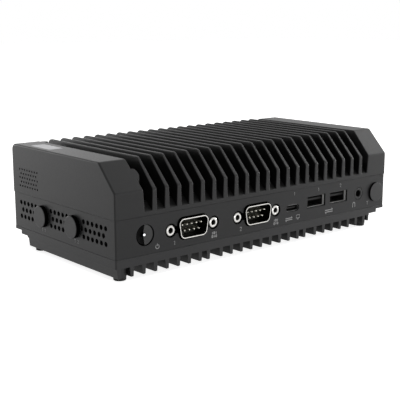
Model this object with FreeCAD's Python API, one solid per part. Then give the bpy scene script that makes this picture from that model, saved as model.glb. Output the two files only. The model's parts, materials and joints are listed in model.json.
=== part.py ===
import FreeCAD, Part
import math
import os
from FreeCAD import Vector

os.makedirs("parts", exist_ok=True)

# Whole unit, in millimetres: x to the right, y to the rear, z up from the surface it stands on
width = 178.5
depth = 87.5
height = 51.5
frame_inset = 0.2       # the frame is set back this far behind the heatsink's outline
cover_inset = 0.1       # and the bottom cover this far
edge_round = 0.8        # small round on the outer corners of the castings
seam_groove = 0.12      # chamfer on the edges along the two seams

# Levels of the three castings
seam_low = 10.1         # top of the bottom cover, underside of the frame
seam_high = 27.4        # top of the frame, underside of the heatsink
board_top = 16.1
board_thick = 1.6
seat_gap = 0.1          # clearance of parts that drop into a seat
panel_gap = 0.3         # clearance of a rear connector in its cut-out
port_gap = 0.12         # clearance of a small front port in its cut-out

# Finned heatsink cover
chamfer_foot = 38.9     # height at which the front chamfer starts
chamfer_run = 12.05     # depth of the chamfer at the top of the fins
rear_round = 3.0
block_drop = 0.4        # the end blocks are this much lower than the fins
block_width = 15.45     # of an end block, at the foot of its inner wall
ridge_round = 1.5
fin_pitch = 6.842
fin_root = 2.75
fin_tip = 1.4
fin_edge_round = 0.45
fin_ridge_round = 2.2
field_centre = 0.2      # middle of the row of fins
least_gap = 3.0         # least gap between an end block and its nearest fin, at the root
end_draft = 0.077       # slope of the end blocks' inner walls
gutter_level = 29.3     # floor between the fins at the front and rear faces
floor_level = 33.0      # floor between the fins over the middle
floor_run = 4.5         # depth over which the floor climbs
cover_wall = 2.5
ceiling_level = 29.8
boss_radius = 2.0
boss_inset = 5.95       # front and rear bosses, behind the faces
boss_bulge = 1.05       # how far the left-hand bosses stand out of their end block's inner wall
boss_cover = 0.5        # how deep the right-hand bosses lie inside their end block's inner wall
lug_radius = 3.0        # of the frame's lugs under the bosses
pilot_radius = 1.05     # tapped holes of the board and lug screws
speaker_hole_radius = 0.55
speaker_hole_pitch = 2.34
speaker_row_pitch = 2.03
speaker_rear = 15.45    # middle of the speaker, from the rear edge
speaker_level = 35.35
speaker_length = 19.6
speaker_height = 12.0

# Blank plate on the left end block
badge_width = 7.6
badge_length = 18.0
badge_thick = 0.3
badge_recess = 0.35
badge_side = 6.8        # middle of the plate, from the left edge
badge_rear = 22.0       # and from the rear edge

# Middle frame
frame_wall = 2.2
vent_radius = 1.15
vent_pitch = 3.471
vent_row_pitch = 3.45
vent_first_y = 7.5      # from the front edge
vent_rise = 0.25        # middle row above the ports' line
vent_keepout = 6.3      # no hole nearer than this to a plug's centre
post_radius = 3.2
post_height = 12.0
post_inset = 5.05       # from the side
post_front = 14.25      # from the front edge
post_rear = 5.75        # from the rear edge
lug_thick = 2.0

# Finned bottom cover
tray_floor = 7.6
plate_level = 6.15      # underside of the plate between the fins
low_fin_level = 1.8
low_fin_pitch = 6.4
low_fin_first = 8.4     # centre of the first fin, from the left edge
low_fin_root = 2.15
low_fin_tip = 1.6
shifted_fins = (7, 17)  # two fins, counted from 0, stand out of the row and carry the bracket holes
fin_shift = 1.5         # to the left
side_wall_thick = 2.3
side_wall_slope = 0.5
side_wall_inset = 0.4   # the left wall is set back this far under the cover's strip
end_wall_level = 3.1    # lower edge of the wall at the right end of the fins
fin_block_margin = 12.45    # the lower fins end this far from the right and rear edges
step_one_level = 6.9
step_two_level = 8.7
step_two_width = 6.3
step_gap = 0.3          # between the fins' ends and the first step
screw_seat = 8.9
bracket_spacing = 50.0  # bracket holes, front to rear
bracket_boss_radius = 3.2
bracket_hole_depth = 4.6
foot_radius = 2.85
foot_height = 1.5
foot_left = 5.15        # from the left edge
foot_right = 14.65      # from the right edge
foot_front = 4.8        # from the front edge
foot_rear = 16.65       # from the rear edge
foot_stem_radius = 1.2
foot_stem_length = 2.6

# Power button
button_x = -73.5
button_level = 18.95
button_hole_radius = 4.85
button_gap = 0.12
button_recess = 0.5
button_dish = 1.1       # depth of the cone in the button's face
button_travel = 0.5
button_flange = 0.7
lens_radius = 0.5
lens_recess = 0.1       # behind the button's rim

# Serial ports: nine pins in a D-shaped shell between two jack screws
serial_x = (-46.85, -6.75)
shell_inner_width = 16.92
shell_inner_height = 8.36
shell_wall = 0.4
shell_slant = math.radians(10)
shell_length = 6.2      # from the flange
shell_proud = 1.1       # beyond the frame's face
shell_clearance = 0.8
jack_spacing = 25.0
flange_margin = 2.9     # of the flange beyond the jack screws' centres
flange_height = 12.5
flange_thick = 0.8
insulator_depth = 6.4   # behind the flange
insulator_width = 19.4
jack_across_flats = 4.75
jack_ring_radius = 1.95  # flat ring of the head, inside its 30 degree chamfer
jack_sink = 0.4         # countersink of the tapped hole
jack_hole_radius = 1.1
jack_hole_depth = 4.0
jack_clearance_radius = 3.2
pin_pitch = 2.77
pin_row_offset = 1.42
pin_radius = 0.5
pin_tip_depth = 1.7     # behind the shell's rim
pin_tail_radius = 0.35

# Small ports of the front
usb_c_x = 17.65
usb_c_width = 8.94
usb_c_height = 3.26
usb_c_recess = 0.6
usb_c_length = 6.9
usb_a_x = (34.95, 51.9)
usb_a_width = 13.15
usb_a_height = 6.0
usb_a_recess = 0.7
usb_a_length = 12.9
tongue_thick = 1.84
tongue_lift = 0.95      # middle of the tongue above the middle of the port
audio_x = 67.8
audio_level = 19.05
audio_bore_radius = 1.8
audio_nose_radius = 3.2
audio_bore_length = 12.0
audio_mouth = 0.3       # chamfer at the mouth of the bore

# Blanking plugs of the aerial holes
plug_radius = 5.2
side_plug_proud = 2.0
front_plug_proud = 1.1
plug_neck_radius = 3.2
plug_neck_length = 3.4  # behind the wall's inner face
plug_front_x = 81.6
plug_front_level = 18.3
plug_side_y = (32.95, 60.25)    # from the front edge

# Ports of the rear
network_x = (-22.0, -2.0)
network_width = 15.9
network_height = 13.3
network_depth = 18.0
display_x = (24.0, 46.0)
display_width = (16.9, 15.0)
display_height = (5.6, 5.5)
dc_x = 67.0
dc_collar_radius = 5.4
dc_bore_radius = 2.85
dc_bore_length = 9.5
dc_pin_radius = 1.05
lock_slot_x = -66.0
lock_slot_width = 7.0
lock_slot_height = 3.0

# Inside
processor_x = -22.0
processor_y = -4.0
processor_size = 24.0
processor_height = 1.3
pad_thick = 1.0
pedestal_size = 34.0
board_margin_x = 10.75  # from the unit's sides
board_margin_front = 4.65
board_margin_rear = 5.35
standoff_radius = 2.8
standoffs_front = ((-74.0, 21.7), (0.0, 20.7), (72.0, 18.2))    # x and distance from the front edge
standoffs_rear = ((-74.0, 13.75), (9.0, 13.75), (58.0, 13.25))  # x and distance from the rear edge
board_screw_radius = 1.25
case_screw_radius = 1.5
memory_x = 41.5
memory_y = 9.0
memory_lift = 2.2       # height of the memory module above the board
module_length = 69.6
module_width = 30.0
chip_pitch = 8.3
ssd_x = -56.0
ssd_y = -17.0
ssd_length = 42.0
radio_x = 42.0
radio_y = -12.0
radio_length = 30.0
card_lift = 2.0         # height of a plug-in card above or below the board
card_thick = 0.8
card_width = 20.2
coin_x = -50.0
coin_y = 2.0

# Values worked out from the sizes above
right_edge = width / 2
rear_edge = depth / 2
front_edge = -rear_edge
face_y = front_edge + frame_inset
back_y = -face_y
side_x = right_edge - frame_inset
inner_front = face_y + frame_wall
inner_back = back_y - frame_wall
inner_side = side_x - frame_wall
cover_front = front_edge + cover_inset
cover_side = right_edge - cover_inset
board_bottom = board_top - board_thick
port_line = board_top + 3.1
serial_line = board_top + 2.6
usb_c_line = board_top + 0.4 + usb_c_height / 2
usb_a_line = board_top + 0.25 + usb_a_height / 2
network_line = board_top + 3.3
dc_line = board_top + 3.1
memory_level = board_top + memory_lift
field_half = right_edge - block_width
block_top = height - block_drop
wall_lean = end_draft * (block_top - gutter_level)
fins_aside = int((field_half - fin_root / 2 - least_gap) / fin_pitch)
speaker_y = rear_edge - speaker_rear
boss_x = (field_centre - field_half - boss_radius + boss_bulge,
          field_centre + field_half + wall_lean + boss_radius + boss_cover)
boss_places = [(x, side * (rear_edge - boss_inset)) for x in boss_x for side in (-1, 1)]
post_places = [(side * (right_edge - post_inset), y)
               for side in (-1, 1) for y in (front_edge + post_front, rear_edge - post_rear)]
foot_places = [(x, y) for x in (-right_edge + foot_left, right_edge - foot_right)
               for y in (front_edge + foot_front, rear_edge - foot_rear)]
side_plug_places = [(front_edge + y, port_line) for y in plug_side_y]
standoff_places = ([(x, front_edge + y) for x, y in standoffs_front]
                   + [(x, rear_edge - y) for x, y in standoffs_rear])
fin_block_right = right_edge - fin_block_margin
fin_block_rear = rear_edge - fin_block_margin
flange_front = face_y - shell_proud + shell_length
flange_rear = flange_front + flange_thick
flange_width = jack_spacing + 2 * flange_margin
low_fin_count = 1 + int((fin_block_right - low_fin_tip + right_edge - low_fin_first) / low_fin_pitch)
low_fin_places = [low_fin_first - right_edge + n * low_fin_pitch - (fin_shift if n in shifted_fins else 0)
                  for n in range(low_fin_count)]
bracket_places = [(low_fin_places[n], (front_edge + fin_block_rear + side * bracket_spacing) / 2)
                  for n in shifted_fins for side in (-1, 1)]


def block(x0, x1, y0, y1, z0, z1):
    """A box between two corners."""
    return Part.makeBox(x1 - x0, y1 - y0, z1 - z0, Vector(x0, y0, z0))


def rod(radius, start, end):
    """A round bar from one point to another."""
    line = end - start
    return Part.makeCylinder(radius, line.Length, start, line)


def upright(radius, x, y, z0, z1):
    return rod(radius, Vector(x, y, z0), Vector(x, y, z1))


def lengthwise(radius, x, z, y0, y1):
    return rod(radius, Vector(x, y0, z), Vector(x, y1, z))


def sideways(radius, y, z, x0, x1):
    return rod(radius, Vector(x0, y, z), Vector(x1, y, z))


def place_in(plane, level):
    """How a pair of numbers lies in one of the three main planes."""
    return {"xy": lambda a, b: Vector(a, b, level),
            "xz": lambda a, b: Vector(a, level, b),
            "yz": lambda a, b: Vector(level, a, b)}[plane]


def rounded_face(points, radii, plane, level):
    """A flat face whose outline goes through the points, with each corner rounded to its radius."""
    corners = []
    count = len(points)
    for i, radius in enumerate(radii):
        here = Vector(*points[i], 0)
        back = Vector(*points[i - 1], 0) - here
        ahead = Vector(*points[(i + 1) % count], 0) - here
        back.normalize()
        ahead.normalize()
        if radius == 0:
            corners.append((here,))
            continue
        half = math.acos(max(-1, min(1, back.dot(ahead)))) / 2
        reach = radius / math.tan(half)
        middle = back + ahead
        middle.normalize()
        centre = here + middle * (radius / math.sin(half))
        corners.append((here + back * reach, centre - middle * radius, here + ahead * reach))
    put = place_in(plane, level)
    edges = []
    for i, corner in enumerate(corners):
        spots = [put(p.x, p.y) for p in corner]
        if len(spots) == 3:
            edges.append(Part.Arc(*spots).toShape())
        following = corners[(i + 1) % count][0]
        target = put(following.x, following.y)
        if (target - spots[-1]).Length > 1e-6:
            edges.append(Part.LineSegment(spots[-1], target).toShape())
    return Part.Face(Part.Wire(edges))


def slab(points, radii, plane, start, end):
    """A rounded outline carried from one level to another, square to its plane."""
    if isinstance(radii, (int, float)):
        radii = [radii] * len(points)
    normal = {"xy": Vector(0, 0, 1), "xz": Vector(0, 1, 0), "yz": Vector(1, 0, 0)}[plane]
    return rounded_face(points, radii, plane, start).extrude(normal * (end - start))


def rectangle(a, b, wide, high):
    """Corner points of a rectangle about a centre."""
    return [(a - wide / 2, b - high / 2), (a + wide / 2, b - high / 2),
            (a + wide / 2, b + high / 2), (a - wide / 2, b + high / 2)]


def bar(x, z, wide, high, radius, y0, y1):
    """A rounded rectangle seen from the front, carried from y0 to y1."""
    return slab(rectangle(x, z, wide, high), radius, "xz", y0, y1)


def tube(x, z, wide, high, radius, wall, y0, y1):
    """A rounded rectangular shell, open at the front and the rear."""
    inner = bar(x, z, wide - 2 * wall, high - 2 * wall, max(radius - wall, 0.05), y0 - 1, y1 + 1)
    return bar(x, z, wide, high, radius, y0, y1).cut(inner)


def group(solids):
    """Separate solids kept as one node."""
    return Part.makeCompound(solids)


def joined(base, others):
    return base.fuse(others).removeSplitter()


def save(name, shape):
    shape.exportStep(os.path.join("parts", name + ".step"))


def side_edges(shape, lowest):
    """Edges that lie in the shape's left and right faces, above a level."""
    box = shape.BoundBox
    found = []
    for edge in shape.Edges:
        b = edge.BoundBox
        flat = b.XMax - b.XMin < 0.01 and min(b.XMin - box.XMin, box.XMax - b.XMax) < 0.01
        if flat and b.ZMax > lowest + 0.01:
            found.append(edge)
    return found


# Heatsink cover

def cover_profile(inset, foot, top):
    """Side view of the cover: upright front, chamfer, flat top and upright rear, moved in by the inset."""
    slope = math.atan2(height - chamfer_foot, chamfer_run)
    drop = inset * math.tan((math.pi / 2 - slope) / 2)
    shift = inset * math.tan(slope / 2)
    ridge = front_edge + (top - chamfer_foot) / math.tan(slope)
    return [(front_edge + inset, foot), (front_edge + inset, chamfer_foot - drop),
            (ridge + shift, top - inset), (rear_edge - inset, top - inset), (rear_edge - inset, foot)]


def cover_shell():
    """The cover without its fins, before it is hollowed: base plate between two end blocks."""
    radii = (0, ridge_round, ridge_round, rear_round, 0)
    solid = slab(cover_profile(0, seam_high, block_top), radii, "yz", -right_edge, right_edge)
    solid = solid.makeFillet(edge_round, side_edges(solid, seam_high))
    rim = [e for e in solid.Edges if e.BoundBox.ZMax < seam_high + 0.01]
    solid = solid.makeChamfer(seam_groove, rim)
    top = height + 5
    spread = end_draft * (top - gutter_level)
    field = slab([(field_centre - field_half, gutter_level), (field_centre + field_half, gutter_level),
                  (field_centre + field_half + spread, top), (field_centre - field_half - spread, top)],
                 0, "xz", front_edge - 1, rear_edge + 1)
    above = slab([(front_edge - 1, gutter_level), (front_edge, gutter_level),
                  (front_edge + floor_run, floor_level), (rear_edge - floor_run, floor_level),
                  (rear_edge, gutter_level), (rear_edge + 1, gutter_level),
                  (rear_edge + 1, top), (front_edge - 1, top)], 0, "yz", -right_edge, right_edge)
    solid = solid.cut(field.common(above))
    return solid.makeFillet(fin_edge_round, wall_rims(solid))


def wall_rims(shape):
    """The outer edges of the end blocks' drafted inner walls."""
    rims = []
    for edge in shape.Edges:
        middle = edge.valueAt((edge.FirstParameter + edge.LastParameter) / 2)
        points = [v.Point for v in edge.Vertexes] + [middle]
        on_wall = all(abs(abs(p.x - field_centre) - field_half - end_draft * (p.z - gutter_level)) < 0.001
                      for p in points)
        if on_wall and (middle.z > floor_level + 0.01 or abs(middle.y) > rear_edge - 0.01):
            rims.append(edge)
    return rims


def cover_hollow():
    """The space under the base plate, and one inside each end block."""
    hollow = block(-right_edge + cover_wall, right_edge - cover_wall, front_edge + cover_wall,
                   rear_edge - cover_wall, seam_high - 1, ceiling_level)
    caves = []
    for side in (-1, 1):
        outer = side * (right_edge - cover_wall)
        inner = field_centre + side * (field_half + wall_lean + cover_wall)
        cave = slab(cover_profile(cover_wall, seam_high - 1, block_top),
                    (0, 0, 0, rear_round - cover_wall, 0), "yz", min(outer, inner), max(outer, inner))
        caves.append(cave)
    return [hollow] + caves


def fin():
    """One fin: the cover's side view cut to a wedge, with its outer edges rounded."""
    foot = gutter_level - 1
    plate = slab(cover_profile(0, foot, height), (0, fin_ridge_round, fin_ridge_round, rear_round, 0),
                 "yz", -fin_root, fin_root)
    rise = height - gutter_level
    low = (fin_root + (fin_root - fin_tip) / rise * (gutter_level - foot)) / 2
    wedge = slab([(-low, foot), (low, foot), (fin_tip / 2, height), (-fin_tip / 2, height)],
                 0, "xz", front_edge - 1, rear_edge + 1)
    plate = plate.common(wedge)
    outer = []
    for edge in plate.Edges:
        b = edge.BoundBox
        across = b.XMin < -0.01 and b.XMax > 0.01
        if not across and b.ZMax > foot + 0.01:
            outer.append(edge)
    return plate.makeFillet(fin_edge_round, outer)


def heatsink_cover():
    """Casting with the long fins, the chamfered front and the pedestal over the processor."""
    pattern = fin()
    fins = [pattern.translated(Vector(field_centre + n * fin_pitch, 0, 0))
            for n in range(-fins_aside, fins_aside + 1)]
    envelope = slab(cover_profile(0, seam_high, block_top), 0, "yz", -right_edge, right_edge)
    bosses = [upright(boss_radius, x, y, seam_high, height).common(envelope) for x, y in boss_places]
    pad_top = board_top + processor_height + pad_thick
    pedestal = slab(rectangle(processor_x, processor_y, pedestal_size, pedestal_size), 2, "xy",
                    pad_top, ceiling_level + 0.5)
    solid = joined(cover_shell(), fins).cut(cover_hollow())
    solid = joined(solid, bosses + [pedestal])
    cuts = [upright(pilot_radius, x, y, seam_high - 1, seam_high + 6) for x, y in boss_places]
    cuts += speaker_holes()
    cuts.append(badge_outline(block_top - badge_recess, height + 1, seat_gap))
    return solid.cut(cuts)


def speaker_holes():
    """Five staggered rows of small holes in the left wall, over the speaker."""
    holes = []
    for row in range(5):
        count = 8 - row % 2
        z = speaker_level + (2 - row) * speaker_row_pitch
        for n in range(count):
            y = speaker_y + (n - (count - 1) / 2) * speaker_hole_pitch
            holes.append(sideways(speaker_hole_radius, y, z, -right_edge - 1, -right_edge + cover_wall + 1))
    return holes


def badge_outline(z0, z1, extra):
    corners = rectangle(badge_side - right_edge, rear_edge - badge_rear,
                        badge_width + 2 * extra, badge_length + 2 * extra)
    return slab(corners, 1.2, "xy", z0, z1)


def badge_plate():
    """Blank plate in its recess on the left end block."""
    seat = block_top - badge_recess
    return badge_outline(seat, seat + badge_thick, 0)


# Middle frame

def vents():
    """Three staggered rows of round holes through both side walls, clear of the blanking plugs."""
    holes = []
    most = int((depth - 2 * vent_first_y) / vent_pitch) + 2
    for row in range(3):
        z = port_line + vent_rise + (1 - row) * vent_row_pitch
        count = most - row % 2
        start = vent_first_y + (row % 2) * vent_pitch / 2
        for n in range(count):
            y = front_edge + start + n * vent_pitch
            if min(math.hypot(y - py, z - pz) for py, pz in side_plug_places) < vent_keepout:
                continue
            for side in (-1, 1):
                holes.append(sideways(vent_radius, y, z, side * (side_x + 1), side * (inner_side - 0.5)))
    return holes


def d_outline(x, z, extra):
    """Corners of a D: the wide side is on top, and the sides slant."""
    half = shell_inner_width / 2 + extra
    high = shell_inner_height / 2 + extra
    lower = half - 2 * high * math.tan(shell_slant)
    return [(x - lower, z - high), (x + lower, z - high), (x + half, z + high), (x - half, z + high)]


def d_slab(x, z, extra, y0, y1):
    radius = 2.2 + extra
    return slab(d_outline(x, z, extra), radius, "xz", y0, y1)


def front_cuts():
    """Openings of the front wall."""
    y0, y1 = face_y - 1, inner_front + 0.5
    cuts = [lengthwise(button_hole_radius, button_x, button_level, y0, y1)]
    for x in serial_x:
        cuts.append(d_slab(x, serial_line, shell_wall + shell_clearance, y0, y1))
        for side in (-1, 1):
            cuts.append(lengthwise(jack_clearance_radius, x + side * jack_spacing / 2, serial_line, y0, y1))
        cuts.append(bar(x, serial_line, jack_spacing, 3.4, 0, y0, y1))
    cuts.append(bar(usb_c_x, usb_c_line, usb_c_width + 2 * port_gap, usb_c_height + 2 * port_gap,
                    usb_c_height / 2 + port_gap - 0.01, y0, y1))
    for x in usb_a_x:
        cuts.append(bar(x, usb_a_line, usb_a_width + 2 * port_gap, usb_a_height + 2 * port_gap,
                        0.4, y0, y1))
    cuts.append(lengthwise(audio_nose_radius + seat_gap, audio_x, audio_level, y0, y1))
    cuts.append(lengthwise(plug_neck_radius + seat_gap, plug_front_x, plug_front_level, y0, y1))
    return cuts


def rear_cuts():
    """Openings of the rear wall."""
    y0, y1 = inner_back - 0.5, back_y + 1
    cuts = []
    for x in network_x:
        cuts.append(bar(x, network_line, network_width + 2 * panel_gap,
                        network_height + 2 * panel_gap, 0.6, y0, y1))
    for x, wide, high in zip(display_x, display_width, display_height):
        cuts.append(bar(x, board_top + seat_gap + high / 2, wide + 2 * panel_gap, high + 2 * panel_gap,
                        0.6, y0, y1))
    cuts.append(lengthwise(dc_collar_radius + seat_gap, dc_x, dc_line, y0, y1))
    cuts.append(bar(lock_slot_x, port_line, lock_slot_width, lock_slot_height, 0.5, y0, y1))
    return cuts


def middle_frame():
    """Ring between the two covers, with posts for the case screws and lugs under the heatsink."""
    outer = slab(rectangle(0, 0, 2 * side_x, 2 * back_y), edge_round, "xy", seam_low, seam_high)
    rims = [e for e in outer.Edges if e.BoundBox.ZMin > seam_high - 0.01
            or e.BoundBox.ZMax < seam_low + 0.01]
    outer = outer.makeChamfer(seam_groove, rims)
    inner = slab(rectangle(0, 0, 2 * inner_side, 2 * inner_back), 1.0, "xy", seam_low - 1, seam_high + 1)
    solid = outer.cut(inner)
    adds = []
    for x, y in post_places:
        adds.append(upright(post_radius, x, y, seam_low, seam_low + post_height))
        wall_x = math.copysign(inner_side + 0.2, x)
        adds.append(block(min(x, wall_x), max(x, wall_x), y - 1.2, y + 1.2, seam_low,
                          seam_low + post_height))
    for x, y in boss_places:
        wall_y = math.copysign(inner_back + 0.2, y)
        adds.append(upright(lug_radius, x, y, seam_high - lug_thick, seam_high))
        adds.append(block(x - lug_radius, x + lug_radius, min(y, wall_y), max(y, wall_y),
                          seam_high - lug_thick, seam_high))
    solid = joined(solid, adds)
    cuts = vents() + front_cuts() + rear_cuts()
    for y, z in side_plug_places:
        for side in (-1, 1):
            cuts.append(sideways(plug_neck_radius + seat_gap, y, z, side * (side_x + 1),
                                 side * (inner_side - 0.5)))
    for x, y in post_places:
        cuts.append(upright(case_screw_radius - 0.25, x, y, seam_low - 1, seam_low + post_height - 2))
    for x, y in boss_places:
        cuts.append(upright(board_screw_radius + 0.15, x, y, seam_high - lug_thick - 1, seam_high + 1))
    return solid.cut(cuts)


# Bottom cover

def low_fin(x, root, tip, level):
    """One lower fin, hanging from the plate and slightly wedge-shaped."""
    return slab([(x - root / 2, plate_level + 0.5), (x - tip / 2, level),
                 (x + tip / 2, level), (x + root / 2, plate_level + 0.5)],
                (0, 0.4, 0.4, 0), "xz", cover_front, fin_block_rear)


def low_fins():
    """The row of lower fins between the left side wall and the wall at the right end."""
    fins = [low_fin(x, low_fin_root, low_fin_tip, low_fin_level) for x in low_fin_places]
    fins.append(low_fin(fin_block_right - low_fin_tip / 2, low_fin_tip, low_fin_tip - 0.4, end_wall_level))
    outer = side_wall_inset - cover_side
    fins.append(slab([(outer, plate_level + 0.5), (outer, plate_level),
                      (outer + side_wall_slope, low_fin_level), (outer + side_wall_thick, low_fin_level),
                      (outer + side_wall_thick, plate_level + 0.5)],
                     (0, 0, 0.4, 0.4, 0), "xz", cover_front, fin_block_rear))
    return fins


def bottom_cover():
    """Casting with the lower fins, the foot pads and the posts that carry the board."""
    solid = slab(rectangle(0, 0, 2 * cover_side, -2 * cover_front), edge_round, "xy", plate_level, seam_low)
    rim = [e for e in solid.Edges if e.BoundBox.ZMin > seam_low - 0.01]
    solid = solid.makeChamfer(seam_groove, rim)
    beyond_x = right_edge + 1
    beyond_y = rear_edge + 1
    step_x = fin_block_right + step_gap
    step_y = fin_block_rear + step_gap
    steps = [block(step_x, beyond_x, -beyond_y, beyond_y, plate_level - 1, step_one_level),
             block(-beyond_x, beyond_x, step_y, beyond_y, plate_level - 1, step_one_level),
             block(right_edge - step_two_width, beyond_x, -beyond_y, beyond_y,
                   plate_level - 1, step_two_level),
             block(-beyond_x, beyond_x, rear_edge - step_two_width, beyond_y,
                   plate_level - 1, step_two_level)]
    tray_wall = 1.5
    tray = slab([(-inner_side, inner_front), (step_x - tray_wall, inner_front),
                 (step_x - tray_wall, step_y - tray_wall), (-inner_side, step_y - tray_wall)], 1.0, "xy",
                tray_floor, seam_low + 1)
    solid = solid.cut(steps + [tray])
    adds = low_fins()
    adds += [upright(foot_radius + 0.1, x, y, foot_height, plate_level + 1.2) for x, y in foot_places]
    adds += [upright(bracket_boss_radius, x, y, low_fin_level, plate_level + 0.5)
             for x, y in bracket_places]
    adds += [upright(standoff_radius, x, y, tray_floor - 0.5, board_bottom) for x, y in standoff_places]
    adds += [upright(post_radius + 1.3, x, y, plate_level + 0.5, seam_low).common(
             block(-cover_side + 0.4, cover_side - 0.4, front_edge, rear_edge, 0, seam_low))
             for x, y in post_places if x < 0 and y < 0]
    solid = joined(solid, adds)
    cuts = []
    for x, y in post_places:
        cuts.append(upright(case_screw_radius + 0.2, x, y, 0, seam_low + 1))
        cuts.append(upright(case_screw_radius + 1.6, x, y, 0, screw_seat))
    for x, y in foot_places:
        cuts.append(upright(foot_stem_radius + 0.1, x, y, 0, foot_height + foot_stem_length + 0.3))
    for x, y in bracket_places:
        cuts.append(upright(case_screw_radius - 0.25, x, y, 0, low_fin_level + bracket_hole_depth))
    for x, y in standoff_places:
        cuts.append(upright(pilot_radius, x, y, tray_floor, board_bottom + 1))
    return solid.cut(cuts)


def rubber_feet():
    """Four round feet, each with a stem pressed up into the bottom cover."""
    feet = []
    for x, y in foot_places:
        disc = upright(foot_radius, x, y, 0, foot_height)
        edges = [e for e in disc.Edges if e.BoundBox.ZMax < 0.01]
        disc = disc.makeFillet(0.4, edges)
        stem = upright(foot_stem_radius, x, y, foot_height - 0.2, foot_height + foot_stem_length)
        feet.append(joined(disc, [stem]))
    return group(feet)


# Power button

def power_button():
    """Round key with a conical dish, a flange behind the panel and a stem to the switch."""
    front = face_y + button_recess
    radius = button_hole_radius - button_gap
    back = inner_front
    rear = back + button_flange
    post = lens_radius + 0.25
    profile = [(0.0, front + lens_recess), (post, front + lens_recess + 0.2), (post, front + button_dish),
               (radius - 0.5, front), (radius, front + 0.4), (radius, back),
               (radius + 0.9, back), (radius + 0.9, rear), (1.6, rear), (1.6, switch_front()),
               (0.0, switch_front())]
    face = rounded_face(profile, [0] * len(profile), "xy", 0)
    key = face.revolve(Vector(0, 0, 0), Vector(0, 1, 0), 360)
    key = key.translated(Vector(button_x, 0, button_level))
    return key.cut(lengthwise(lens_radius + 0.02, button_x, button_level, front - 1, front + 2.6))


def switch_front():
    """Where the button's stem meets the plunger of the switch."""
    return inner_front + 3.2


def power_light_lens():
    """Light pipe in the post at the middle of the dish."""
    front = face_y + button_recess
    return lengthwise(lens_radius, button_x, button_level, front + lens_recess, front + 2.6)


def switch_plunger():
    return lengthwise(1.2, button_x, button_level, switch_front(), switch_front() + 1.6)


def power_switch():
    """Right-angle push switch on the board's front edge."""
    y0 = switch_front() + button_travel + 0.3
    body = bar(button_x, button_level, 6.2, 2 * (button_level - board_top - 0.05), 0.5, y0, y0 + 4.2)
    return body.cut(lengthwise(1.25, button_x, button_level, y0 - 1, y0 + 2.2))


# Serial ports

def serial_shell(x):
    """Pressed steel flange with the D-shaped shell drawn out of it."""
    z = serial_line
    flange = bar(x, z, flange_width, flange_height, 1.2, flange_front, flange_rear)
    lip = d_slab(x, z, shell_wall, face_y - shell_proud, flange_rear)
    solid = joined(flange, [lip])
    holes = [lengthwise(1.55, x + side * jack_spacing / 2, z, flange_front - 1, flange_rear + 1)
             for side in (-1, 1)]
    return solid.cut([d_slab(x, z, 0, face_y - shell_proud - 1, flange_rear + 1)] + holes)


def serial_insulator(x):
    """Moulded body: a D-shaped nose inside the shell and a block behind the flange."""
    z = serial_line
    rear = flange_rear + insulator_depth
    nose = d_slab(x, z, -0.15, flange_front + 0.3, flange_rear)
    body = bar(x, z, insulator_width, 10.4, 0.8, flange_rear, rear)
    solid = joined(nose, [body])
    return solid.cut([lengthwise(pin_radius, px, pz, flange_front - 1, rear + 1)
                      for px, pz in serial_pin_places(x)])


def serial_pin_places(x):
    """Five pins above four, on the two staggered rows."""
    places = []
    for count, dz in ((5, pin_row_offset), (4, -pin_row_offset)):
        for n in range(count):
            places.append((x + (n - (count - 1) / 2) * pin_pitch, serial_line + dz))
    return places


def pin_reach(z):
    """How far back a pin runs before it bends down: the upper row runs further."""
    return flange_rear + insulator_depth + (2.2 if z > serial_line else 1.0)


def serial_pins(x):
    """Nine contact pins with tapered tips, each bent down through the board behind the body."""
    tip = face_y - shell_proud + pin_tip_depth
    pins = []
    for px, pz in serial_pin_places(x):
        reach = pin_reach(pz)
        nose = Part.makeCone(pin_radius / 2, pin_radius, pin_radius, Vector(px, tip, pz), Vector(0, 1, 0))
        straight = lengthwise(pin_radius, px, pz, tip + pin_radius, reach)
        tail = upright(pin_tail_radius, px, reach - pin_radius, board_bottom - 0.8, pz)
        pins.append(joined(straight, [nose, tail]))
    return group(pins)


def hex_points(x, z, across):
    radius = across / math.sqrt(3)
    return [(x + radius * math.cos(math.radians(60 * n)), z + radius * math.sin(math.radians(60 * n)))
            for n in range(6)]


def jack_screws():
    """Four hexagonal jack screws: a tapped head level with the panel and a shank through the flange."""
    screws = []
    for x in serial_x:
        for side in (-1, 1):
            sx = x + side * jack_spacing / 2
            middle = Vector(sx, face_y, serial_line)
            head = slab(hex_points(sx, serial_line, jack_across_flats), 0, "xz", face_y, flange_front)
            long = flange_front - face_y + 1
            cone = Part.makeCone(jack_ring_radius, jack_ring_radius + long * math.sqrt(3), long,
                                 middle, Vector(0, 1, 0))
            head = head.common(cone)
            shank = lengthwise(1.4, sx, serial_line, flange_front - 0.2, flange_rear + 4)
            screw = joined(head, [shank])
            hole = lengthwise(jack_hole_radius, sx, serial_line, face_y - 1, face_y + jack_hole_depth)
            sink = Part.makeCone(jack_hole_radius + jack_sink, jack_hole_radius, jack_sink,
                                 middle, Vector(0, 1, 0))
            screws.append(screw.cut([hole, sink]))
    return group(screws)


# Small front ports

def usb_c_shell():
    """Oval steel shell on two legs."""
    z = usb_c_line
    front = face_y + usb_c_recess
    shell = tube(usb_c_x, z, usb_c_width, usb_c_height, usb_c_height / 2 - 0.01, 0.3,
                 front, front + usb_c_length)
    legs = [block(usb_c_x + side * 3.8 - 0.5, usb_c_x + side * 3.8 + 0.5, front + 4.4, front + 5.3,
                  board_top, z - usb_c_height / 2 + 0.2) for side in (-1, 1)]
    return joined(shell, legs)


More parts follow.
